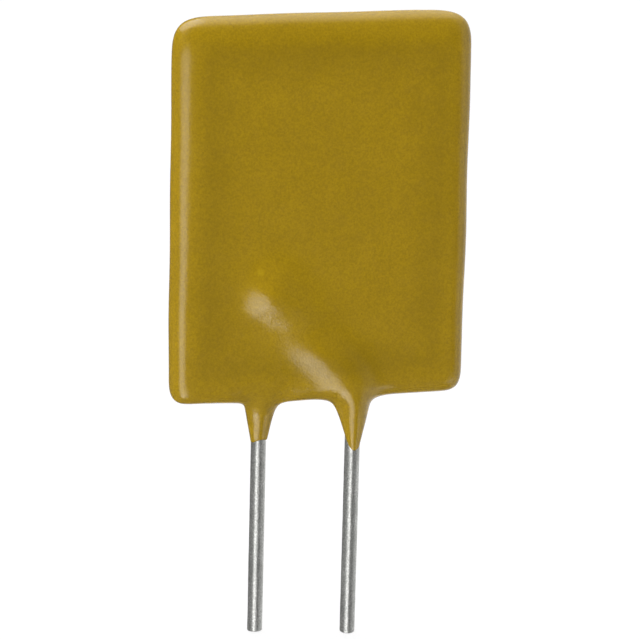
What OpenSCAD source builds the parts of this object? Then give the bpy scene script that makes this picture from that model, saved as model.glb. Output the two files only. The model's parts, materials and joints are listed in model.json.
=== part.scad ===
// Resettable fuse: a polymer chip between two metal foils, a bent wire soldered to each foil,
// and a dipped epoxy coating that flows over the wires and down onto them.
// Millimetres, +Z up, front face towards -Y. The origin lies midway between the two leads,
// in the seating plane where the coating ends.

/* [Chip] */
// Width of the conductive polymer chip
chip_w = 14.4; // [12:0.1:20]
// Height of the chip
chip_h = 19; // [14:0.1:28]
// Thickness of the polymer between its two foils
chip_t = 0.26; // [0.2:0.02:0.8]
// Thickness of the foil on each face of the chip
foil_t = 0.035; // [0.02:0.005:0.1]

/* [Leads] */
// Diameter of the tinned copper wire
lead_d = 0.82; // [0.6:0.02:1]
// Distance between the two leads, across the body
lead_pitch = 4.9; // [4:0.1:7]
// Length of bare wire below the seating plane
lead_len = 10.8; // [4:0.1:30]
// Chamfer round the cut end of the wire
lead_chamfer = 0.08; // [0.02:0.01:0.2]
// Slant of the soldered stretch of wire, in degrees from the vertical
lead_slant = 42; // [30:0.5:55]
// Length of the slanted stretch, from the corner of the bend to the end of the wire
lead_run = 6.6; // [5:0.1:9]
// Radius of the bend along the middle of the wire
bend_r = 4; // [2:0.1:5]
// Height of the bend's corner above the lower edge of the body
bend_rise = 0.85; // [0.4:0.05:1.2]
// Loss in the wire's radius where it is drawn round the bend
bend_thin = 0.02; // [0.02:0.01:0.05]

/* [Solder] */
// Solder film between the wire and the foil
solder_film = 0.02; // [0.01:0.01:0.1]
// Width of the solder where it wets the foil
solder_w = 1.8; // [1.4:0.1:2.4]
// Solder past the end of the wire
solder_end = 0.3; // [0.1:0.05:0.6]
// Bare foil between the solder and the chip's lower edge
solder_margin = 0.2; // [0.1:0.05:1]

/* [Coating] */
// Coating outside the edges of the chip
edge_wall = 0.9; // [0.6:0.05:1.5]
// Coating over the flat faces of the chip
face_wall = 0.7; // [0.5:0.05:1.2]
// Coating over the wire at either end of its slanted stretch
wire_wall = 0.44; // [0.3:0.02:0.7]
// Drop of the ridge over the wire, half way along that stretch
ridge_dip = 0.26; // [0:0.02:0.28]
// Reach of the ridge to either side of the wire
ridge_w = 1.35; // [0.9:0.05:2]
// Coating to either side of the wire where it leaves the body
leg_wall = 0.54; // [0.3:0.02:0.8]
// Spread of the leg where it runs up into the body's face
leg_flare = 0.8; // [0.4:0.05:1.2]
// Coating left on the wire at the seating plane
tip_wall = 0.05; // [0.05:0.01:0.2]
// Height of the body's lower edge above the seating plane
stand_off = 2.45; // [1.5:0.05:5]
// Offset of the body to the right of the middle of the lead pair
body_shift = 0.5; // [-1:0.05:1]
// Radius of the lower corners of the body's outline
foot_r = 1.1; // [0.9:0.1:3]
// Radius of the upper corners of the body's outline
crown_r = 1.5; // [0.9:0.1:3]
// Reach of the rounded edge, in from the outline
edge_r = 0.85; // [0.6:0.05:2]

/* [Hidden] */
$fn = 48;

coating_colour = [0.58, 0.47, 0.09];
polymer_colour = [0.12, 0.12, 0.13];
foil_colour = [0.74, 0.72, 0.68];
tin_colour = [0.72, 0.73, 0.74];
solder_colour = [0.62, 0.63, 0.65];

laminate_t = chip_t + 2 * foil_t;
body_w = chip_w + 2 * edge_wall;
body_h = chip_h + 2 * edge_wall;
body_t = laminate_t + 2 * face_wall;
body_top = stand_off + body_h;
body_mid = stand_off + body_h / 2;
chip_low = stand_off + edge_wall;

// The wire: straight up, round the bend, then slanted across the foil to its end.
lead_x = lead_pitch / 2;
lead_y = laminate_t / 2 + solder_film + lead_d / 2;
bend_corner = stand_off + bend_rise;
bend_reach = bend_r * tan(lead_slant / 2);
bend_low = bend_corner - bend_reach;
run_start = [bend_reach * sin(lead_slant), bend_corner + bend_reach * cos(lead_slant)];
run_dir = [sin(lead_slant), cos(lead_slant)];
run_len = lead_run - bend_reach;
bend_lap = 2;

// The solder starts where its lower corner clears the edge of the foil and the wire is straight.
solder_low = chip_low + solder_margin + solder_w / 2 * sin(lead_slant);
solder_start = max((solder_low - run_start[1]) / cos(lead_slant), 0);
solder_len = run_len + solder_end - solder_start;
solder_grip = 0.72;
solder_wet = solder_grip * lead_d / 2;
solder_steps = 6;

// The ridge over each wire, and the leg of coating that runs down the wire below the body. A leg
// leans: its middle moves from the body's middle plane to the wire on the way down.
ridge_h = lead_y + lead_d / 2 + wire_wall - body_t / 2;
run_half = lead_run * cos(lead_slant) / 2;
run_mid = bend_corner + run_half;
leg_soft = 0.4;
leg_grow = 1.5;
lean_foot = 0.4;
lean_low = lean_foot * stand_off;
lean_high = stand_off + edge_r;
mask_reach = 1.5;
mask_power = 4;
flare_drop = 0.35;
flare_rise = 1.4;
flare_low = stand_off - flare_drop;
root_power = 3;
root_reach = 1.8;
tiny = 0.0001;

// The loft of the coating: upright slices across the width, closer together where it curves.
slice_count = 60;
slice_scan = 400;
rim_density = 7;
flank_density = 8;
ridge_density = 2;
foot_levels = 12;
ridge_levels = 13;
plain_levels = 4;
crown_levels = 6;
level_count = foot_levels + ridge_levels + plain_levels + crown_levels;
root_steps = 18;
slice_inset = 0.005;
cut_over = 0.3;
rim_over = 0.1;
rim_reach = max(foot_r, crown_r, edge_r) + rim_over;
ridge_reach = 2 * ridge_w;
level_foot = stand_off + rim_reach;
level_crown = body_top - rim_reach;
level_ridge = min(run_mid + run_half + ridge_reach, level_crown - rim_reach);
far_y = body_t + ridge_h;

function clamp01(t) = min(max(t, 0), 1);
function ease(t) = clamp01(t) * clamp01(t) * (3 - 2 * clamp01(t));

// Distance from a point of the front view to the body's outline, negative inside it.
function outline_gap(x, z) =
    let (
        corner = z > body_mid ? crown_r : foot_r,
        dx = abs(x - body_shift) - body_w / 2 + corner,
        dz = abs(z - body_mid) - body_h / 2 + corner
    )
    norm([max(dx, 0), max(dz, 0)]) + min(max(dx, dz), 0) - corner;

// Distance in the front view from the wire's middle line, u being measured towards its slant.
function wire_gap(u, z) =
    let (
        turn = atan2(z - bend_low, bend_r - u),
        upright = norm([u, max(z - bend_low, 0)]),
        along = min(max((u - run_start[0]) * run_dir[0] + (z - run_start[1]) * run_dir[1], 0), run_len),
        slanted = norm([u, z] - run_start - along * run_dir),
        bent = turn > 0 && turn < lead_slant ? abs(norm([bend_r - u, z - bend_low]) - bend_r) : slanted
    )
    min(upright, bent, slanted);

// Share of a leg's full girth at height z: none at the seating plane, all of it inside the body.
function leg_share(z) =
    let (t = max(z / stand_off, 0), near = max(leg_soft - abs(t - 1), 0))
    min(t, 1) - near * near / (4 * leg_soft);

// Half the width of a leg, which spreads as it runs up into the body's face.
function leg_half(z) =
    lead_d / 2 + tip_wall
    + (leg_wall - tip_wall) * min(max(z / stand_off, 0), leg_grow)
    + leg_flare * ease((z - flare_low) / flare_rise);

// Place in the rounded edge of the body: 0 where the flat face ends, 1 at the outline.
function rim_at(x, z) = max(outline_gap(x, z) / edge_r + 1, tiny);

// Place across a leg: 0 at the wire's middle line, 1 at the leg's flank.
function leg_at(u, z) = max(wire_gap(u, z) / leg_half(z), tiny);

// Place in the edge of the whole outline, where body and legs flow into each other through fillets.
function edge_at(x, z) =
    pow(
        pow(rim_at(x, z), -root_power)
        + pow(leg_at(lead_x - x, z), -root_power)
        + pow(leg_at(lead_x + x, z), -root_power),
        -1 / root_power
    );

// 1 across a leg, falling to 0 beside it.
function leg_mask(u, z) = exp(-pow(leg_at(u, z) / mask_reach, mask_power));

// How far the coating's middle has moved from the body's middle plane to a wire.
function lean_at(u, z) =
    lead_y * leg_mask(u, z) * ease((lean_high - z) / (lean_high - lean_low));

// Height of the coating over its middle, on the front (side -1) or on the back (side 1): the flat
// face, with a ridge over the wire on this side and a slope down to the leg of the wire behind.
function depth_at(x, z, side) =
    let (
        share = leg_share(z),
        own = lead_x + side * x,
        other = lead_x - side * x,
        over_tip = lead_d / 2 + tip_wall,
        dip = ridge_dip * (1 - ease(abs(z - run_mid) / run_half)),
        aside = wire_gap(own, z) / ridge_w,
        plain = lead_y - lean_at(own, z) + over_tip + (wire_wall - tip_wall - ridge_h) * share,
        ridge = plain + (ridge_h - dip) * share * exp(-aside * aside) + lean_at(other, z),
        under = max(over_tip + (leg_wall - tip_wall) * share - lead_y + lean_at(other, z), tip_wall),
        round_off = ease(rim_at(x, z) / root_reach)
    )
    under + (ridge - under) * (1 - round_off * leg_mask(other, z));

// The middle of the coating, from which its heights to the front and to the back are measured.
function middle_y(x, z) = lean_at(lead_x + x, z) - lean_at(lead_x - x, z);

function surface_y(x, z, side) =
    middle_y(x, z) + side * depth_at(x, z, side) * sqrt(max(1 - pow(edge_at(x, z), 2), 0));

// Where the outline is crossed on the way up or down a slice.
function outline_z(x, inside, outside, steps = root_steps) =
    let (half = (inside + outside) / 2)
    steps == 0 ? inside
    : edge_at(x, half) < 1
        ? outline_z(x, half, outside, steps - 1)
        : outline_z(x, inside, half, steps - 1);

function level_z(level, low, high) =
    let (
        over_foot = level - foot_levels,
        over_ridge = over_foot - ridge_levels,
        over_plain = over_ridge - plain_levels
    )
    over_foot < 0 ? low + (level_foot - low) * (1 - cos(90 * level / foot_levels))
    : over_ridge < 0 ? level_foot + (level_ridge - level_foot) * over_foot / ridge_levels
    : over_plain < 0 ? level_ridge + (level_crown - level_ridge) * over_ridge / plain_levels
    : level_crown + (high - level_crown) * sin(90 * over_plain / crown_levels);

// One slice as a ring of points: up the front face, over the top and down the back face.
function slice_ring(x) =
    let (
        low = max(outline_z(x, level_foot, -2 * cut_over), -cut_over),
        high = outline_z(x, level_crown, body_top + rim_reach),
        heights = [for (level = [0 : level_count]) level_z(level, low, high)]
    )
    [
        [x, middle_y(x, low), low],
        for (i = [1 : level_count - 1]) [x, surface_y(x, heights[i], -1), heights[i]],
        [x, middle_y(x, high), high],
        for (i = [level_count - 1 : -1 : 1]) [x, surface_y(x, heights[i], 1), heights[i]]
    ];

// How closely the slices stand at x: more at the rims, over the ridges and at the legs' flanks.
function slice_density(x) =
    let (
        rim = body_w / 2 - abs(x - body_shift),
        wire = abs(abs(x) - lead_x),
        flank = (wire - lead_d / 2 - (tip_wall + leg_wall) / 2) / leg_wall,
        ridge = x / (lead_x + ridge_reach)
    )
    1 + rim_density * exp(-rim / (edge_r / 4))
    + flank_density * exp(-flank * flank)
    + ridge_density * exp(-pow(ridge, 4));

function slice_places() =
    let (
        half = body_w / 2 - slice_inset,
        step = 2 * half / slice_scan,
        sums = [
            for (
                i = 0, x = body_shift - half, sum = 0;
                i <= slice_scan;
                sum = sum + slice_density(x + step / 2) * step, i = i + 1, x = body_shift - half + i * step
            ) [sum, x]
        ]
    )
    [for (i = [0 : slice_count]) lookup(sums[slice_scan][0] * i / slice_count, sums)];

module coating_form() {
    rings = [for (x = slice_places()) slice_ring(x)];
    count = 2 * level_count;
    last = slice_count * count;
    polyhedron(
        points = [for (ring = rings) each ring],
        faces = [
            [for (j = [count - 1 : -1 : 0]) j],
            [for (j = [0 : count - 1]) last + j],
            for (i = [0 : slice_count - 1], j = [0 : count - 1])
                let (a = i * count + j, b = i * count + (j + 1) % count)
                each [[a, b, a + count], [b, b + count, a + count]]
        ],
        convexity = 6
    );
}

module laminate_block(thickness, y = 0) {
    translate([body_shift, y, chip_low + chip_h / 2])
        cube([chip_w, thickness, chip_h], center = true);
}

// The front wire; the rear one is the same wire turned half round about Z. Its bare stretch ends
// at the seating plane, where it starts to neck down a little towards the bend.
module wire() {
    neck_r = lead_d / 2 - bend_thin / 2;
    translate([lead_x, -lead_y, bend_low])
        rotate([180, 0, 0])
            rotate_extrude()
                polygon([
                    [0, 0],
                    [neck_r, 0],
                    [lead_d / 2, bend_low],
                    [lead_d / 2, bend_low + lead_len - lead_chamfer],
                    [lead_d / 2 - lead_chamfer, bend_low + lead_len],
                    [0, bend_low + lead_len]
                ]);
    translate([lead_x - bend_r, -lead_y, bend_low])
        rotate([90, 0, 0])
            rotate([0, 0, -bend_lap])
                rotate_extrude(angle = lead_slant + 2 * bend_lap)
                    translate([bend_r, 0])
                        circle(r = lead_d / 2 - bend_thin);
    along_run(0)
        cylinder(d = lead_d, h = run_len);
}

module along_run(distance) {
    translate([lead_x - run_start[0], -lead_y, run_start[1]])
        rotate([0, -lead_slant, 0])
            translate([0, 0, distance])
                children();
}

// Solder drawn up between wire and foil, with a hollow fillet along each flank of the wire.
module solder_fill() {
    foil_y = lead_d / 2 + solder_film;
    spread = solder_w / 2 - solder_wet;
    flank = [
        for (i = [0 : solder_steps])
            let (t = 90 * i / solder_steps)
            [solder_w / 2 - spread * sin(t), foil_y * cos(t)]
    ];
    along_run(solder_start)
        linear_extrude(solder_len)
            polygon(concat(flank, [for (i = [solder_steps : -1 : 0]) [-flank[i][0], flank[i][1]]]));
}

module half_turn() {
    rotate([0, 0, 180])
        children();
}

module epoxy_coating() {
    color(coating_colour)
        difference() {
            coating_form();
            translate([body_shift - body_w, -far_y, -2 * cut_over])
                cube([2 * body_w, 2 * far_y, 2 * cut_over]);
            coated_pieces();
        }
}

// Everything that the coating closes round.
module coated_pieces() {
    laminate_block(laminate_t);
    for (turn = [0, 180])
        rotate([0, 0, turn]) {
            wire();
            solder_fill();
        }
}

module ptc_chip() {
    color(polymer_colour)
        laminate_block(chip_t);
}

module front_electrode() {
    color(foil_colour)
        laminate_block(foil_t, -(chip_t + foil_t) / 2);
}

module rear_electrode() {
    color(foil_colour)
        laminate_block(foil_t, (chip_t + foil_t) / 2);
}

module front_lead() {
    color(tin_colour)
        wire();
}

module rear_lead() {
    color(tin_colour)
        half_turn() wire();
}

module solder_joint() {
    color(solder_colour)
        difference() {
            solder_fill();
            wire();
        }
}

module front_solder() {
    solder_joint();
}

module rear_solder() {
    half_turn() solder_joint();
}

epoxy_coating();
ptc_chip();
front_electrode();
rear_electrode();
front_lead();
rear_lead();
front_solder();
rear_solder();
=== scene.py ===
import json
import math

import bpy
import numpy as np
from mathutils import Matrix, Quaternion, Vector


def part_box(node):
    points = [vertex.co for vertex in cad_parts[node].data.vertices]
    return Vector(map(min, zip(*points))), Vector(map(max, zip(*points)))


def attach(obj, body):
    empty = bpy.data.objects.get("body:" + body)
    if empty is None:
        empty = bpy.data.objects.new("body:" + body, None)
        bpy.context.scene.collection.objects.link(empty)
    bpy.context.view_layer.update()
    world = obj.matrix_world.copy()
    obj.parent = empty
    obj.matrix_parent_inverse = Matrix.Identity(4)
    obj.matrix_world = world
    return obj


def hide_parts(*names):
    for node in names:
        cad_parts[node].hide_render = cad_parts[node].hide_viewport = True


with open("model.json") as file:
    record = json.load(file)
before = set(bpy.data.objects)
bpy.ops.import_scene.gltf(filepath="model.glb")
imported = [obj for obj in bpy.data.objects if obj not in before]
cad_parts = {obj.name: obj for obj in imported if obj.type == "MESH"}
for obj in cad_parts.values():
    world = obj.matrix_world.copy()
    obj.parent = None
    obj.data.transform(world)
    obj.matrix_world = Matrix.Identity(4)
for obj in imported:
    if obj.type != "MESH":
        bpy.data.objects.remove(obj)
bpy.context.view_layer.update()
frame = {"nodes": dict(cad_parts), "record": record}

mm = 0.001
scene = bpy.context.scene
print("frame:", len(frame["nodes"]), "nodes")


# Sizes that the frame gives, in millimetres.
def boxOf(node):
    return [np.array(corner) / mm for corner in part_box(node)]


pins = {mount["name"]: mount for mount in frame["record"]["mounts"]}
leadX, leadY = (abs(v) / mm for v in pins["front_lead_pin"]["pos_m"][:2])
leadR = pins["front_lead_pin"]["dims"]["r_mm"]
leadTip = boxOf("front_lead")[0][2]
chipLow, chipHigh = boxOf("ptc_chip")
coatTop = boxOf("epoxy_coating")[1][2]
edgeWall = coatTop - chipHigh[2]
bodyLow = np.array([chipLow[0] - edgeWall, 0, chipLow[2] - edgeWall])
bodyHigh = np.array([chipHigh[0] + edgeWall, 0, chipHigh[2] + edgeWall])
bodyMid = (bodyLow + bodyHigh) / 2
bodyHalf = (bodyHigh - bodyLow) / 2
standOff = bodyLow[2]
foilThick = 0.035
faceWall = 0.7


# The wire's middle line in the front view: straight up, round the bend, then slanted over the foil.
wire = {
    "slant": math.radians(42),
    "run": 6.6,  # from the corner of the bend to the wire's end
    "bendRadius": 4.0,
    "bendRise": 0.85,  # corner of the bend above the body's lower edge
}
bendCorner = standOff + wire["bendRise"]
bendReach = wire["bendRadius"] * math.tan(wire["slant"] / 2)
bendLow = bendCorner - bendReach
runDir = np.array([math.sin(wire["slant"]), math.cos(wire["slant"])])
runStart = np.array([0, bendCorner]) + bendReach * runDir
runLength = wire["run"] - bendReach


def ease(t):
    t = np.clip(t, 0, 1)
    return t * t * (3 - 2 * t)


def addWaves(seed, count, longest, shortest):
    # a smooth random ripple, made of plane waves with fixed directions and phases
    rng = np.random.default_rng(seed)
    heading = rng.normal(size=(count, 3))
    heading /= np.linalg.norm(heading, axis=1)[:, None]
    waveNumber = 2 * math.pi / np.exp(rng.uniform(math.log(shortest), math.log(longest), count))
    phase = rng.uniform(0, 2 * math.pi, count)

    def ripple(x, y, z):
        total = np.zeros(np.broadcast(x, y, z).shape)
        for h, k, p in zip(heading, waveNumber, phase):
            total += np.sin(k * (h[0] * x + h[1] * y + h[2] * z) + p)
        return total / math.sqrt(count)

    return ripple


# Dipped epoxy coating: a rounded slab that swells over both wires and runs down onto them in legs.
coating = {
    "halfThick": (chipHigh[1] - chipLow[1]) / 2 + foilThick + faceWall,
    "footReach": 1.3,  # how far in the soft rounding goes, along the bottom edge
    "footCorner": 1.8,  # and at its two corners
    "cornerLength": 3.5,
    "crownReach": 2.6,  # along the top edge
    "sideReach": (1.55, 3.0),  # along the sides, low down and high up
    "edgePower": 4,  # of the edges' and corners' rounding, as in a superellipse
    "wireWall": 0.44,  # over the wire at either end of its slanted stretch
    "ridgeDip": 0.21,  # drop of the ridge along the middle of that stretch
    "dipAt": 6.5,
    "dipReach": 1.6,
    "ridgeOver": 0.25,  # how far the ridge runs on past the wire's end
    "ridgeWidth": 1.35,
    "legSoft": 0.4,
    "legGrow": 1.5,
    "legFlare": 0.8,  # spread of a leg where it runs up into the face
    "flareLow": standOff - 0.35,
    "flareRise": 1.4,
    "leanLow": 0.4 * standOff,  # below this a leg is centred on its wire
    "leanHigh": standOff + 0.85,  # above this it is centred on the body
    "maskReach": 1.5,  # how far a leg's mask spreads, in half widths of the leg
    "rootPower": 3,  # lower makes the fillets at the legs' roots larger
    "slopeLow": standOff - 0.9,  # foot of the slope from the body's face down to the far leg
    "slopeHigh": standOff + 1.4,
    "slopeWidth": 1.7,  # reach of that slope to either side of the leg
    "tipWall": 0.03,
    "depthMin": 0.03,
    "legMin": 0.05,
    "lipSlope": 1.3,  # how steeply the coating's end dives onto the wire
    "sag": 0.03,  # long waves in the outline and faces
    "peel": 0.0008,  # fine orange peel
    "step": 0.115,  # spacing of the mesh
    "nibAt": (-2.93, 9.72),  # a small nib above the end of the front wire
    "nibHeight": 0.02,
    "nibSize": 0.22,
    "margin": 0.35,  # room for the mesh's grid past the slab's outline
    "gridDepth": 2.0,
    "gridBelow": 1.6,  # and below the front leg's end
}
ridgeHeight = leadY + leadR + coating["wireWall"] - coating["halfThick"]
# Height of the coating's ragged end round each wire: mean, then cosine and sine of the angle
# and of twice it; and the wall to either side of the wire where it leaves the body.
ends = {
    "front": {
        "facing": math.radians(-12),
        "mean": 0.2,
        "once": (-0.4, -0.23),
        "twice": (-0.11, 0.0),
        "wall": 0.65,
    },
    "rear": {
        "facing": math.radians(110),
        "mean": 0.12,
        "once": (-0.05, 0.03),
        "twice": (-0.05, 0.04),
        "wall": 0.5,
    },
}
sagWaves = addWaves(seed=3, count=10, longest=14, shortest=5)
peelWaves = addWaves(seed=11, count=40, longest=1.1, shortest=0.5)
tinyShare = 0.0001  # keeps powers and quotients finite
tinyReach = 0.001


def wireGap(u, z):
    # distance in the front view from a wire's middle line, u measured towards its slant
    turn = np.arctan2(z - bendLow, wire["bendRadius"] - u)
    upright = np.hypot(u, np.maximum(z - bendLow, 0))
    ridgeLength = runLength + coating["ridgeOver"]
    along = np.clip((u - runStart[0]) * runDir[0] + (z - runStart[1]) * runDir[1], 0, ridgeLength)
    slanted = np.hypot(u - runStart[0] - along * runDir[0], z - runStart[1] - along * runDir[1])
    curved = np.abs(np.hypot(wire["bendRadius"] - u, z - bendLow) - wire["bendRadius"])
    bent = np.where((turn > 0) & (turn < wire["slant"]), curved, slanted)
    return np.minimum(np.minimum(upright, bent), slanted)


def rimAt(x, z):
    # place in the rounded edge of the slab: 0 where the flat face ends, 1 at the outline
    rise = ease((z - bodyLow[2]) / (bodyHigh[2] - bodyLow[2]))
    low, high = coating["sideReach"]
    sideReach = low + (high - low) * rise
    outward = np.abs(x - bodyMid[0]) - bodyHalf[0]
    corner = ease(outward / coating["cornerLength"] + 1)
    footReach = coating["footReach"] + (coating["footCorner"] - coating["footReach"]) * corner
    endReach = np.where(z > bodyMid[2], coating["crownReach"], footReach)
    sag = coating["sag"] * sagWaves(x, 0 * x, z)
    upward = np.abs(z - bodyMid[2]) - bodyHalf[2]
    dx = np.maximum(outward + sag + sideReach, tinyReach) / sideReach
    dz = np.maximum(upward + sag + endReach, tinyReach) / endReach
    return np.maximum(np.sqrt(dx ** coating["edgePower"] + dz ** coating["edgePower"]), tinyShare)


def legOf(end, across, depth, z):
    # share of a leg's full girth, its radius without that share, and its half width
    angle = np.arctan2(across, -depth) - end["facing"]
    endZ = end["mean"] + end["once"][0] * np.cos(angle) + end["once"][1] * np.sin(angle)
    endZ = endZ + end["twice"][0] * np.cos(2 * angle) + end["twice"][1] * np.sin(2 * angle)
    up = np.maximum((z - endZ) / (standOff - endZ), 0)
    near = np.maximum(coating["legSoft"] - np.abs(up - 1), 0)
    share = np.minimum(up, 1) - near * near / (4 * coating["legSoft"])
    bare = leadR + coating["tipWall"] - coating["lipSlope"] * np.maximum(endZ - z, 0)
    wide = bare + (end["wall"] - coating["tipWall"]) * np.minimum(up, coating["legGrow"])
    wide = wide + coating["legFlare"] * ease((z - coating["flareLow"]) / coating["flareRise"])
    return share, bare, np.maximum(wide, coating["legMin"])


def coatingField(x, y, z):
    rim = rimAt(x, z)
    gaps = {"front": wireGap(leadX - x, z), "rear": wireGap(leadX + x, z)}
    legs = {
        "front": legOf(ends["front"], x - leadX, y + leadY, z),
        "rear": legOf(ends["rear"], -x - leadX, leadY - y, z),
    }
    places = {name: np.maximum(gaps[name] / legs[name][2], tinyShare) for name in gaps}
    masks = {name: np.exp(-((place / coating["maskReach"]) ** 4)) for name, place in places.items()}
    leanHere = leadY * ease((coating["leanHigh"] - z) / (coating["leanHigh"] - coating["leanLow"]))
    lean = {name: leanHere * mask for name, mask in masks.items()}
    middle = lean["rear"] - lean["front"]
    power = coating["rootPower"]
    edge = (rim**-power + places["front"] ** -power + places["rear"] ** -power) ** (-1 / power)
    dip = coating["ridgeDip"] * (1 - ease(np.abs(z - coating["dipAt"]) / coating["dipReach"]))
    roundOff = ease((coating["slopeHigh"] - z) / (coating["slopeHigh"] - coating["slopeLow"]))
    beside = {
        "front": (x - leadX) / coating["slopeWidth"],
        "rear": (x + leadX) / coating["slopeWidth"],
    }
    rise = coating["wireWall"] - coating["tipWall"] - ridgeHeight
    depths = []
    for own, other in (("front", "rear"), ("rear", "front")):
        share, bare, _ = legs[own]
        aside = gaps[own] / coating["ridgeWidth"]
        plain = leadY - lean[own] + bare + rise * share
        ridge = plain + (ridgeHeight - dip) * share * np.exp(-aside * aside) + lean[other]
        share, bare, _ = legs[other]
        under = bare + (ends[other]["wall"] - coating["tipWall"]) * share - leadY + lean[other]
        under = np.maximum(under, coating["depthMin"])
        slope = roundOff * masks[other] * np.exp(-(beside[other] ** 4))
        depths.append(under + (ridge - under) * (1 - slope))
    depth = np.maximum(np.where(y < middle, depths[0], depths[1]), coating["depthMin"])
    both = (np.hypot(edge, (y - middle) / depth) - 1) * np.minimum(depth, coating["halfThick"])
    nib = np.hypot(x - coating["nibAt"][0], z - coating["nibAt"][1]) / coating["nibSize"]
    both = both - coating["nibHeight"] * np.exp(-nib * nib) * (y < 0)
    return both + coating["peel"] * peelWaves(x, y, z)


# How the mesh is drawn onto the field's surface.
meshing = {
    "probe": 0.004,  # half the length over which a slope is measured
    "slopeMin": 0.04,  # least square of a slope
    "pushMax": 0.08,
    "settleRounds": 4,
    "evenRounds": 3,  # times the points are spread evenly and settled again
    "evenShare": 0.5,
    "evenSettle": 2,
}


def slopeOf(field, points):
    h = meshing["probe"]
    sides = []
    for axis in np.eye(3) * h:
        sides.append(field(*(points + axis).T) - field(*(points - axis).T))
    return np.stack(sides, 1) / (2 * h)


def settle(field, points, rounds):
    # slides points along the field's slope onto its surface
    for _ in range(rounds):
        slope = slopeOf(field, points)
        push = field(*points.T) / np.maximum((slope * slope).sum(1), meshing["slopeMin"])
        points = points - np.clip(push, -meshing["pushMax"], meshing["pushMax"])[:, None] * slope
    return points


def skinOf(field, low, high, step):
    # quads round every cell of a grid that the field's surface crosses, settled onto that surface
    axes = [np.arange(a, b + step, step) for a, b in zip(low, high)]
    inside = field(*np.meshgrid(*axes, indexing="ij", sparse=True)) < 0
    corners = sum(
        inside[i : i - 1 or None, j : j - 1 or None, k : k - 1 or None].astype(np.int8)
        for i in (0, 1)
        for j in (0, 1)
        for k in (0, 1)
    )
    crossed = (corners > 0) & (corners < 8)
    number = np.full(crossed.shape, -1)
    number[crossed] = np.arange(crossed.sum())
    starts = [axes[n][cells] for n, cells in enumerate(np.nonzero(crossed))]
    points = np.stack(starts, 1) + step / 2
    quads = []
    for axis in range(3):
        one, two = [n for n in range(3) if n != axis]
        flat = np.moveaxis(inside, axis, 0)
        change = np.moveaxis(flat[1:] != flat[:-1], 0, axis)
        cells = np.array(np.nonzero(change))
        loop = []
        for stepOne, stepTwo in ((1, 1), (0, 1), (0, 0), (1, 0)):
            cell = cells.copy()
            cell[one] -= stepOne
            cell[two] -= stepTwo
            loop.append(number[tuple(cell)])
        loop = np.stack(loop, 1)
        outward = inside[tuple(cells)] ^ (axis == 1)
        loop[~outward] = loop[~outward][:, ::-1]
        quads.append(loop)
    quads = np.concatenate(quads)
    points = settle(field, points, meshing["settleRounds"])
    ring = np.concatenate([quads, np.roll(quads, 1, 1)]).reshape(-1)
    nextTo = np.concatenate([np.roll(quads, -1, 1), quads]).reshape(-1)
    degree = np.bincount(ring, minlength=len(points))[:, None]
    for _ in range(meshing["evenRounds"]):
        sums = [np.bincount(ring, points[nextTo, n], len(points)) for n in range(3)]
        shift = meshing["evenShare"] * (np.stack(sums, 1) / degree - points)
        points = settle(field, points + shift, meshing["evenSettle"])
    return points, quads


def newPiece(name, points, faces, node, normals=None):
    mesh = bpy.data.meshes.new(name)
    mesh.from_pydata((np.asarray(points) * mm).tolist(), [], [list(map(int, f)) for f in faces])
    mesh.validate()
    mesh.shade_smooth()
    if normals is not None:
        mesh.normals_split_custom_set_from_vertices(normals)
    piece = bpy.data.objects.new(name, mesh)
    scene.collection.objects.link(piece)
    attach(piece, "root")
    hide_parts(node)
    print(name + ":", len(mesh.vertices), "points,", len(mesh.polygons), "faces")
    return piece


def makeCoating():
    margin, deep = coating["margin"], coating["gridDepth"]
    low = np.array([bodyLow[0] - margin, -deep, ends["front"]["mean"] - coating["gridBelow"]])
    high = np.array([bodyHigh[0] + margin, deep, bodyHigh[2] + margin])
    points, quads = skinOf(coatingField, low, high, coating["step"])
    normals = slopeOf(coatingField, points)
    normals /= np.linalg.norm(normals, axis=1)[:, None]
    return newPiece("coating_skin", points, quads, "epoxy_coating", normals)


# Tinned copper wire, cut off square at its lower end.
lead = {
    "sides": 64,
    "bareStep": 0.06,
    "hiddenStep": 0.2,
    "drawLines": 0.002,  # depth of the lines that the drawing die leaves
    "dents": 0.003,
    "dentWaves": {"count": 24, "longest": 2.5, "shortest": 0.35},
    "lineOrders": (3, 15),  # lines counted round the wire, from the first to before the last
    "endRound": 0.07,
    "endTilt": 0.03,
    "endHollow": 0.02,
    "endFade": 0.5,  # height over which the end's tilt dies out
    "endShares": (0.0, 0.35, 0.7),  # rings in the end's face, as shares of its radius
    "roundRings": 7,
    "bendRings": 12,
    "capShare": 0.5,  # radius of the ring that closes the hidden end
}


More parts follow.
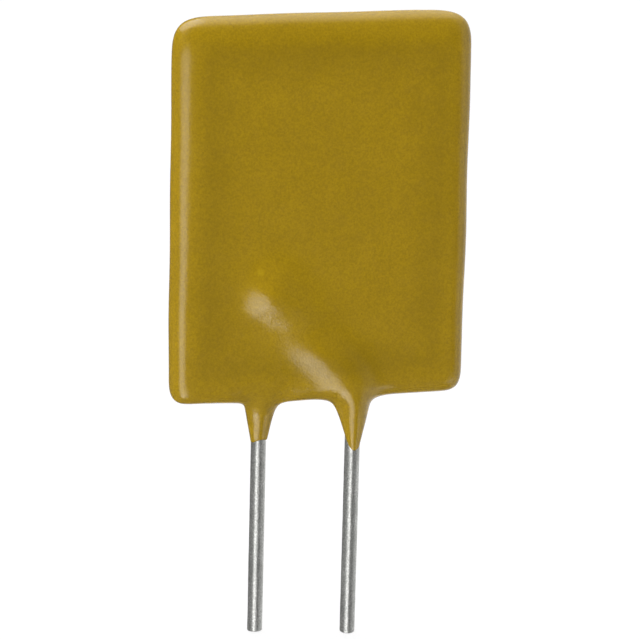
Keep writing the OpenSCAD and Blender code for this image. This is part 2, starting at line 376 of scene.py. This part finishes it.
def makeLead(name, node, side, seed):
    # side is 1 for the front wire and -1 for the rear one, which is turned half round
    rng = np.random.default_rng(seed)
    angle = np.linspace(0, 2 * math.pi, lead["sides"], endpoint=False)
    bumps = addWaves(seed, **lead["dentWaves"])
    orders = range(*lead["lineOrders"])
    lines = sum(rng.normal() * np.cos(n * angle + rng.uniform(0, 2 * math.pi)) for n in orders)
    lines = lines / math.sqrt(len(orders))
    rings = []
    tilt = lead["endTilt"] * np.cos(angle - rng.uniform(0, 2 * math.pi))
    endR = lead["endRound"]
    inner = leadR - endR
    for share in lead["endShares"]:
        rings.append((share * inner, leadTip + lead["endHollow"] * (1 - share * share), 0.0))
    for t in np.linspace(0, math.pi / 2, lead["roundRings"]):
        rings.append((inner + endR * math.sin(t), leadTip + endR * (1 - math.cos(t)), 0.0))
    bare = np.arange(leadTip + endR + lead["bareStep"], bendLow, lead["bareStep"])
    rings += [(leadR, z, 0.0) for z in bare]
    rings += [(leadR, bendLow, t) for t in np.linspace(0, wire["slant"], lead["bendRings"])]
    points = []
    for radius, z, turn in rings:
        inward = wire["bendRadius"] * (1 - math.cos(turn))
        upward = wire["bendRadius"] * math.sin(turn)
        points.append((radius, np.array([leadX - inward, z + upward]), turn))
    hidden = lead["hiddenStep"]
    for s in np.arange(hidden, runLength + hidden / 2, hidden):
        centre = np.array([leadX, 0]) + np.array([-1, 1]) * (runStart + s * runDir)
        points.append((leadR, centre, wire["slant"]))
    points.append((leadR * lead["capShare"], points[-1][1], wire["slant"]))
    rows = []
    for radius, centre, turn in points:
        across, depth = np.cos(angle), np.sin(angle)
        x = centre[0] + radius * across * math.cos(turn)
        z = centre[1] + radius * across * math.sin(turn)
        y = -leadY + radius * depth
        full = min(radius / leadR, 1) ** 4
        swell = full * (lead["dents"] * bumps(x, y, z) + lead["drawLines"] * lines)
        fade = np.clip(1 - (centre[1] - leadTip) / lead["endFade"], 0, 1)
        x = x + swell * across * math.cos(turn)
        z = z + swell * across * math.sin(turn)
        z = z + tilt * fade * radius / leadR + lead["endTilt"] * fade
        y = y + swell * depth
        rows.append(np.stack([side * x, side * y, z], 1))
    count = lead["sides"]
    rows[0] = rows[1].mean(0)[None]
    allPoints = np.concatenate([rows[0], *rows[1:]])
    faces = [[0, 1 + (j + 1) % count, 1 + j] for j in range(count)]
    for i in range(len(rows) - 2):
        for j in range(count):
            a, b = 1 + i * count + j, 1 + i * count + (j + 1) % count
            faces.append([a, b, b + count, a + count])
    last = 1 + (len(rows) - 2) * count
    faces.append([last + j for j in range(count)])
    return newPiece(name, allPoints, faces, node)


# Shader helpers.
def addNode(tree, kind, **settings):
    node = tree.nodes.new("ShaderNode" + kind)
    for name, value in settings.items():
        setattr(node, name, value)
    return node


def fill(tree, socket, value):
    if isinstance(value, bpy.types.NodeSocket):
        tree.links.new(value, socket)
    else:
        socket.default_value = value


def feed(tree, node, **values):
    # sets or links inputs; Base_Color means the socket "Base Color"
    for name, value in values.items():
        fill(tree, node.inputs[name.replace("_", " ")], value)
    return node


def math2(tree, operation, first, second):
    node = addNode(tree, "Math", operation=operation)
    for socket, value in zip(node.inputs, (first, second)):
        fill(tree, socket, value)
    return node.outputs[0]


def smoothStep(tree, value, start, end, high=1.0):
    node = addNode(tree, "MapRange", interpolation_type="SMOOTHSTEP")
    feed(tree, node, Value=value, From_Min=start, From_Max=end, To_Max=high)
    return node.outputs["Result"]


def newGroup(name, inputs, outputs):
    group = bpy.data.node_groups.new(name, "ShaderNodeTree")
    for label, kind, value in inputs:
        socket = group.interface.new_socket(label, in_out="INPUT", socket_type="NodeSocket" + kind)
        if value is not None:
            socket.default_value = value
    for label, kind in outputs:
        group.interface.new_socket(label, in_out="OUTPUT", socket_type="NodeSocket" + kind)
    return group, group.nodes.new("NodeGroupInput"), group.nodes.new("NodeGroupOutput")


noiseLook = {
    "middle": 0.5,
    "cloudDetail": 4.0,
    "speckDetail": 1.0,
    "speckEdge": 0.8,  # a speck starts where the noise is over this less the amount
    "speckSoft": 0.2,
}


def noiseIn(group, source, detail):
    scale = math2(group, "DIVIDE", 1 / mm, source.outputs["Size"])
    noise = addNode(group, "TexNoise")
    feed(group, noise, Vector=source.outputs["Vector"], Scale=scale, Detail=detail)
    return noise.outputs["Fac"]


def makeMottle():
    # soft cloudy patches, used for colour and for roughness
    inputs = [("Vector", "Vector", None), ("Size", "Float", 1.0), ("Contrast", "Float", 1.0)]
    group, source, sink = newGroup("mottle", inputs, [("Mask", "Float")])
    noise = noiseIn(group, source, noiseLook["cloudDetail"])
    off = math2(group, "SUBTRACT", noise, noiseLook["middle"])
    spread = addNode(group, "Math", operation="MULTIPLY_ADD", use_clamp=True)
    for socket, value in zip(spread.inputs, (off, source.outputs["Contrast"], noiseLook["middle"])):
        fill(group, socket, value)
    group.links.new(spread.outputs[0], sink.inputs["Mask"])
    return group


def makeSpecks():
    # scattered small specks, such as filler grains
    inputs = [("Vector", "Vector", None), ("Size", "Float", 0.1), ("Amount", "Float", 0.3)]
    group, source, sink = newGroup("specks", inputs, [("Mask", "Float")])
    noise = noiseIn(group, source, noiseLook["speckDetail"])
    edge = math2(group, "SUBTRACT", noiseLook["speckEdge"], source.outputs["Amount"])
    top = math2(group, "ADD", edge, noiseLook["speckSoft"])
    group.links.new(smoothStep(group, noise, edge, top), sink.inputs["Mask"])
    return group


mottle, specks = makeMottle(), makeSpecks()


def newMaterial(name):
    material = bpy.data.materials.new(name)
    material.use_nodes = True
    tree = material.node_tree
    tree.nodes.clear()
    shader = addNode(tree, "BsdfPrincipled")
    output = addNode(tree, "OutputMaterial")
    tree.links.new(shader.outputs["BSDF"], output.inputs["Surface"])
    place = addNode(tree, "TexCoord").outputs["Object"]
    return material, tree, shader, place


def patches(tree, place, size, contrast):
    node = addNode(tree, "Group", node_tree=mottle)
    return feed(tree, node, Vector=place, Size=size, Contrast=contrast).outputs["Mask"]


def dots(tree, place, size, amount):
    node = addNode(tree, "Group", node_tree=specks)
    return feed(tree, node, Vector=place, Size=size, Amount=amount).outputs["Mask"]


def mixColour(tree, mask, first, second):
    node = addNode(tree, "Mix", data_type="RGBA")
    for socket, value in zip((node.inputs[0], node.inputs[6], node.inputs[7]), (mask, first, second)):
        fill(tree, socket, value)
    return node.outputs[2]


def tint(tree, tone, mask, share, colour):
    return mixColour(tree, math2(tree, "MULTIPLY", mask, share), tone, colour)


def between(tree, mask, low, high):
    node = feed(tree, addNode(tree, "MapRange"), Value=mask, To_Min=low, To_Max=high)
    return node.outputs["Result"]


def bumpOf(tree, height, depth):
    node = feed(tree, addNode(tree, "Bump"), Height=height, Strength=1.0, Distance=depth * mm)
    return node.outputs["Normal"]


# Pairs named cloud, fine, gloss and skin are a patch size in millimetres and a contrast;
# pairs named dots are a size and an amount.
epoxyFinish = {
    "cloud": (1.6, 1.6),
    "deep": (0.278, 0.174, 0.0015, 1),
    "light": (0.318, 0.201, 0.002, 1),
    "paintedShadeShare": 0.13,  # how much painted shade darkens the coating along the edge of each face
    "paintedShadeColour": (0, 0, 0, 1),
    "rimReach": (4.2, 1.68),  # how far in from the outline that painted shade begins, and where it is full
    "rimEnd": (2.0, 1.0),  # where it starts to fade towards the outline, and where it is gone
    "fine": (0.1, 2.6),
    "fineGrain": 0.44,
    "dots": (0.11, 0.16),
    "dotTone": 0.5,
    "speck": (0.13, 0.078, 0.001, 1),
    "nib": (0.42, 0.28, 0.006, 1),
    "nibReach": (0.34, 0.08),
    "nibTone": 0.45,
    "specular": 0.55,
    "gloss": (0.5, 1.5),
    "rough": (0.15, 0.23),
    "skin": (0.11, 2.0),
    "grain": 0.005,
}


def paintedShadeMask(tree, place, reach, end):
    # a band of painted shade along the edge of each face, 1 in its middle
    split = addNode(tree, "SeparateXYZ")
    tree.links.new(place, split.inputs[0])
    insets = []
    for axis, name in ((0, "X"), (2, "Z")):
        off = math2(tree, "SUBTRACT", split.outputs[name], bodyMid[axis] * mm)
        off = math2(tree, "ABSOLUTE", off, 0.0)
        insets.append(math2(tree, "SUBTRACT", bodyHalf[axis] * mm, off))
    inset = math2(tree, "MINIMUM", *insets)
    inner = smoothStep(tree, inset, reach[0] * mm, reach[1] * mm)
    outer = smoothStep(tree, inset, end[1] * mm, end[0] * mm)
    return math2(tree, "MULTIPLY", inner, outer)


def nibMask(tree, place, reach, high):
    spot = addNode(tree, "VectorMath", operation="DISTANCE")
    tree.links.new(place, spot.inputs[0])
    nibX, nibZ = coating["nibAt"]
    spot.inputs[1].default_value = (nibX * mm, -coating["halfThick"] * mm, nibZ * mm)
    return smoothStep(tree, spot.outputs["Value"], reach[0] * mm, reach[1] * mm, high)


def makeEpoxy():
    f = epoxyFinish
    material, tree, shader, place = newMaterial("dipped epoxy")
    tone = mixColour(tree, patches(tree, place, *f["cloud"]), f["deep"], f["light"])
    # painted shade: the coating is darkened along the edge of each face
    rim = paintedShadeMask(tree, place, f["rimReach"], f["rimEnd"])
    tone = tint(tree, tone, rim, f["paintedShadeShare"], f["paintedShadeColour"])
    tone = tint(tree, tone, patches(tree, place, *f["fine"]), f["fineGrain"], f["speck"])
    tone = tint(tree, tone, dots(tree, place, *f["dots"]), f["dotTone"], f["speck"])
    tone = mixColour(tree, nibMask(tree, place, f["nibReach"], f["nibTone"]), tone, f["nib"])
    rough = between(tree, patches(tree, place, *f["gloss"]), *f["rough"])
    normal = bumpOf(tree, patches(tree, place, *f["skin"]), f["grain"])
    feed(tree, shader, Base_Color=tone, Roughness=rough, Normal=normal)
    feed(tree, shader, Specular_IOR_Level=f["specular"])
    return material


# What all the dull plated metals share; the first number of a pair is in sizes of the cloudy tone.
metalFinish = {
    "cloudContrast": 2.6,
    "blotch": (10, 3.0),
    "blotchTone": 0.45,
    "skin": (0.6, 2.0),
    "dots": (0.6, 0.2),
    "dotTone": 0.4,  # as a share of the dark tone
}
metals = {
    "dull tin": {
        "dark": (0.33, 0.335, 0.32, 1),
        "bright": (0.74, 0.745, 0.72, 1),
        "rough": (0.27, 0.4),
        "size": 0.07,
        "grain": 0.005,
        "stretch": 0.7,  # under 1 draws the tone out along the wire
        "metallic": 0.85,
    },
    "solder": {
        "dark": (0.4, 0.41, 0.43, 1),
        "bright": (0.55, 0.56, 0.58, 1),
        "rough": (0.3, 0.5),
        "size": 0.3,
        "grain": 0.006,
        "stretch": 1.0,
        "metallic": 1.0,
    },
    "nickel foil": {
        "dark": (0.42, 0.4, 0.36, 1),
        "bright": (0.55, 0.53, 0.48, 1),
        "rough": (0.35, 0.5),
        "size": 0.25,
        "grain": 0.003,
        "stretch": 1.0,
        "metallic": 1.0,
    },
}


def makeMetal(name):
    # cloudy tone and roughness, with a fine uneven skin
    m, f = metals[name], metalFinish
    material, tree, shader, place = newMaterial(name)

    def scaled(pair):
        return m["size"] * pair[0], pair[1]

    drawn = feed(tree, addNode(tree, "Mapping"), Vector=place, Scale=(1, 1, m["stretch"]))
    cloud = patches(tree, drawn.outputs["Vector"], m["size"], f["cloudContrast"])
    skin = patches(tree, place, *scaled(f["skin"]))
    tone = mixColour(tree, cloud, m["dark"], m["bright"])
    blotch = patches(tree, place, *scaled(f["blotch"]))
    tone = tint(tree, tone, blotch, f["blotchTone"], m["dark"])
    shade = [f["dotTone"] * c for c in m["dark"][:3]] + [1]
    tone = mixColour(tree, dots(tree, place, *scaled(f["dots"])), tone, shade)
    feed(tree, shader, Base_Color=tone, Metallic=m["metallic"])
    feed(tree, shader, Roughness=between(tree, skin, *m["rough"]), Normal=bumpOf(tree, skin, m["grain"]))
    return material


polymerFinish = {
    "black": (0.012, 0.012, 0.013, 1),
    "grey": (0.04, 0.04, 0.042, 1),
    "dots": (0.08, 0.25),
    "skin": (0.15, 2.0),
    "rough": (0.55, 0.8),
    "grain": 0.006,
}


def makePolymer():
    f = polymerFinish
    material, tree, shader, place = newMaterial("carbon filled polymer")
    tone = mixColour(tree, dots(tree, place, *f["dots"]), f["black"], f["grey"])
    skin = patches(tree, place, *f["skin"])
    feed(tree, shader, Base_Color=tone)
    feed(tree, shader, Roughness=between(tree, skin, *f["rough"]), Normal=bumpOf(tree, skin, f["grain"]))
    return material


# The object.
coatingSkin = makeCoating()
frontWire = makeLead("front_wire", "front_lead", side=1, seed=21)
rearWire = makeLead("rear_wire", "rear_lead", side=-1, seed=34)

tin = makeMetal("dull tin")
solder = makeMetal("solder")
nickelFoil = makeMetal("nickel foil")
finishes = {
    coatingSkin.name: makeEpoxy(),
    frontWire.name: tin,
    rearWire.name: tin,
    "front_solder": solder,
    "rear_solder": solder,
    "front_electrode": nickelFoil,
    "rear_electrode": nickelFoil,
    "ptc_chip": makePolymer(),
}
for name, material in finishes.items():
    mesh = bpy.data.objects[name].data
    mesh.materials.clear()
    mesh.materials.append(material)
print("finishes:", len(finishes))


# Studio: white floor and surround, soft boxes, and grey flags that only reflections see.
studio = {
    "floorSize": 3.0,
    "floorWhite": 0.75,
    "floorGlow": 0.88,  # share of plain white in what the camera sees of the floor
    "ambient": 0.1,
}


def whiteFor(tree, plain, white):
    # camera, glossy and transmission rays see the white shader, other rays the plain one
    rays = addNode(tree, "LightPath").outputs
    seen = math2(tree, "MAXIMUM", rays["Is Camera Ray"], rays["Is Glossy Ray"])
    seen = math2(tree, "MAXIMUM", seen, rays["Is Transmission Ray"])
    mix = addNode(tree, "MixShader")
    for socket, value in zip(mix.inputs, (seen, plain, white)):
        tree.links.new(value, socket)
    return mix.outputs[0]


def makeFloor():
    half = studio["floorSize"] / 2
    mesh = bpy.data.meshes.new("floor")
    signs = ((-1, -1), (1, -1), (1, 1), (-1, 1))
    corners = [(half * x, half * y, leadTip * mm) for x, y in signs]
    mesh.from_pydata(corners, [], [(0, 1, 2, 3)])
    floor = bpy.data.objects.new("floor", mesh)
    scene.collection.objects.link(floor)
    floor.visible_glossy = floor.visible_shadow = False
    material = bpy.data.materials.new("white floor")
    material.use_nodes = True
    tree = material.node_tree
    tree.nodes.clear()
    paint = feed(tree, addNode(tree, "BsdfDiffuse"), Color=(studio["floorWhite"],) * 3 + (1,))
    glow = feed(tree, addNode(tree, "Emission"), Color=(1, 1, 1, 1), Strength=1.0)
    pale = addNode(tree, "MixShader")
    pale.inputs[0].default_value = studio["floorGlow"]
    tree.links.new(paint.outputs[0], pale.inputs[1])
    tree.links.new(glow.outputs[0], pale.inputs[2])
    output = addNode(tree, "OutputMaterial")
    tree.links.new(whiteFor(tree, paint.outputs[0], pale.outputs[0]), output.inputs["Surface"])
    mesh.materials.append(material)


def makeWorld():
    world = bpy.data.worlds.new("studio")
    scene.world = world
    world.use_nodes = True
    tree = world.node_tree
    tree.nodes.clear()
    plain = feed(tree, addNode(tree, "Background"), Color=(1, 1, 1, 1), Strength=studio["ambient"])
    white = feed(tree, addNode(tree, "Background"), Color=(1, 1, 1, 1), Strength=1.0)
    output = addNode(tree, "OutputWorld")
    tree.links.new(whiteFor(tree, plain.outputs[0], white.outputs[0]), output.inputs["Surface"])


def heading(azimuth, elevation):
    # unit vector towards a place round the object; azimuth 0 is in front and -90 to the left
    a, e = math.radians(azimuth), math.radians(elevation)
    return Vector((math.sin(a) * math.cos(e), -math.cos(a) * math.cos(e), math.sin(e)))


middle = Vector((bodyMid[0], 0, bodyMid[2])) * mm
boxAway = 0.4
# light is how bright each box alone would make a white card at the object that faces it
softBoxes = {
    "left_box": {
        "azimuth": -55, "elevation": 25, "size": (0.8, 0.95), "away": 1.25,
        "light": 0.92, "seen": "diffuse",
    },
    "top_box": {
        "azimuth": 0, "elevation": 84, "size": (1.15, 1.0), "light": 2.2, "seen": "diffuse",
    },
    "crown_box": {
        "azimuth": 180, "elevation": 76, "size": (0.3, 0.2), "light": 1.0, "seen": "diffuse",
    },
    "right_box": {
        "azimuth": 115, "elevation": -5, "size": (0.25, 0.3), "light": 0.23, "seen": "diffuse",
    },
    "under_box": {
        "azimuth": 0, "elevation": -72, "size": (0.4, 0.3), "light": 0.1, "seen": "diffuse",
    },
    "low_box": {
        "azimuth": -29, "elevation": -30, "size": (0.22, 0.36), "lean": 17,
        "light": 0.45, "seen": "glossy",
    },
    "bend_box": {
        "azimuth": -28, "elevation": -50, "size": (0.12, 0.08), "light": 0.048, "seen": "glossy",
    },
    "sheen_box": {
        "azimuth": 45, "elevation": -36, "size": (0.12, 0.12), "light": 0.04, "seen": "glossy",
    },
    "back_box": {
        "azimuth": 110, "elevation": 72, "size": (0.4, 0.4), "light": 0.26, "seen": "glossy",
    },
    "corner_box": {
        "azimuth": -94, "elevation": 64, "size": (0.45, 0.45), "light": 1.2, "seen": "glossy",
    },
}


def makeSoftBox(name, box):
    away = box.get("away", boxAway)
    data = bpy.data.lights.new(name, "AREA")
    data.shape = "RECTANGLE"
    data.size, data.size_y = box["size"]
    data.energy = box["light"] * (math.pi * away) ** 2
    lamp = bpy.data.objects.new(name, data)
    scene.collection.objects.link(lamp)
    towards = heading(box["azimuth"], box["elevation"])
    lamp.location = middle + towards * away
    lamp.rotation_mode = "QUATERNION"
    lean = Quaternion((0, 0, 1), math.radians(box.get("lean", 0)))
    lamp.rotation_quaternion = (-towards).to_track_quat("-Z", "Y") @ lean
    lamp.visible_camera = False
    lamp.visible_glossy = box["seen"] == "glossy"
    lamp.visible_diffuse = box["seen"] == "diffuse"


# Grey cloths, by the stretch of azimuth and elevation that each hides from reflections.
flagAway = 0.7
flagSteps = 16
flags = {
    "right_flag": {"azimuths": (-20, 54), "elevations": (-55, 4), "grey": 0.015},
    "crown_flag": {"azimuths": (-20, 54), "elevations": (4, 49), "grey": 0.12},
    "upper_flag": {"azimuths": (-190, -20), "elevations": (4, 49), "grey": 0.2},
    "far_flag": {"azimuths": (54, 100), "elevations": (-55, 45), "grey": 0.7},
    "left_flag": {"azimuths": (-190, -20), "elevations": (-55, 4), "grey": 0.14},
    "low_flag": {"azimuths": (-180, 180), "elevations": (-90, -54), "away": 0.69, "grey": 0.15},
}


def makeFlag(name, flag):
    across = flagSteps + 1
    away = flag.get("away", flagAway)
    rows = []
    for elevation in np.linspace(*flag["elevations"], across):
        for azimuth in np.linspace(*flag["azimuths"], across):
            rows.append(middle + heading(azimuth, elevation) * away)
    faces = []
    for i in range(flagSteps):
        for j in range(flagSteps):
            a = i * across + j
            faces.append((a, a + 1, a + across + 1, a + across))
    mesh = bpy.data.meshes.new(name)
    mesh.from_pydata(rows, [], faces)
    cloth = bpy.data.objects.new(name, mesh)
    scene.collection.objects.link(cloth)
    cloth.visible_camera = cloth.visible_diffuse = False
    cloth.visible_shadow = cloth.visible_transmission = False
    material = bpy.data.materials.new(name)
    material.use_nodes = True
    tree = material.node_tree
    tree.nodes.clear()
    glow = feed(tree, addNode(tree, "Emission"), Color=(1, 1, 1, 1), Strength=flag["grey"])
    tree.links.new(glow.outputs[0], addNode(tree, "OutputMaterial").inputs["Surface"])
    mesh.materials.append(material)


view = {
    "azimuth": -16.303,
    "elevation": 14.932,
    "roll": 1.454,
    "away": 169.94,
    "focalPixels": 3196.12,
    "imagePixels": 640,
    "sensor": 36,
    "clip": (0.01, 10),
    "aimRight": 0.620,
    "aimHeight": 6.776,
}


def makeCamera():
    data = bpy.data.cameras.new("camera")
    data.sensor_width = view["sensor"]
    data.lens = data.sensor_width * view["focalPixels"] / view["imagePixels"]
    data.clip_start, data.clip_end = view["clip"]
    camera = bpy.data.objects.new("camera", data)
    scene.collection.objects.link(camera)
    back = heading(view["azimuth"], view["elevation"])
    level = heading(view["azimuth"] + 90, 0)
    roll = math.radians(view["roll"])
    right = level * math.cos(roll) + back.cross(level) * math.sin(roll)
    up = back.cross(right)
    aim = level * view["aimRight"] + Vector((0, 0, view["aimHeight"]))
    place = (aim + back * view["away"]) * mm
    camera.matrix_world = Matrix(((*right, 0), (*up, 0), (*back, 0), (*place, 1))).transposed()
    scene.camera = camera


makeFloor()
makeWorld()
for name, box in softBoxes.items():
    makeSoftBox(name, box)
for name, flag in flags.items():
    makeFlag(name, flag)
makeCamera()
scene.view_settings.view_transform = "Standard"
print("studio:", len(softBoxes), "soft boxes,", len(flags), "flags")
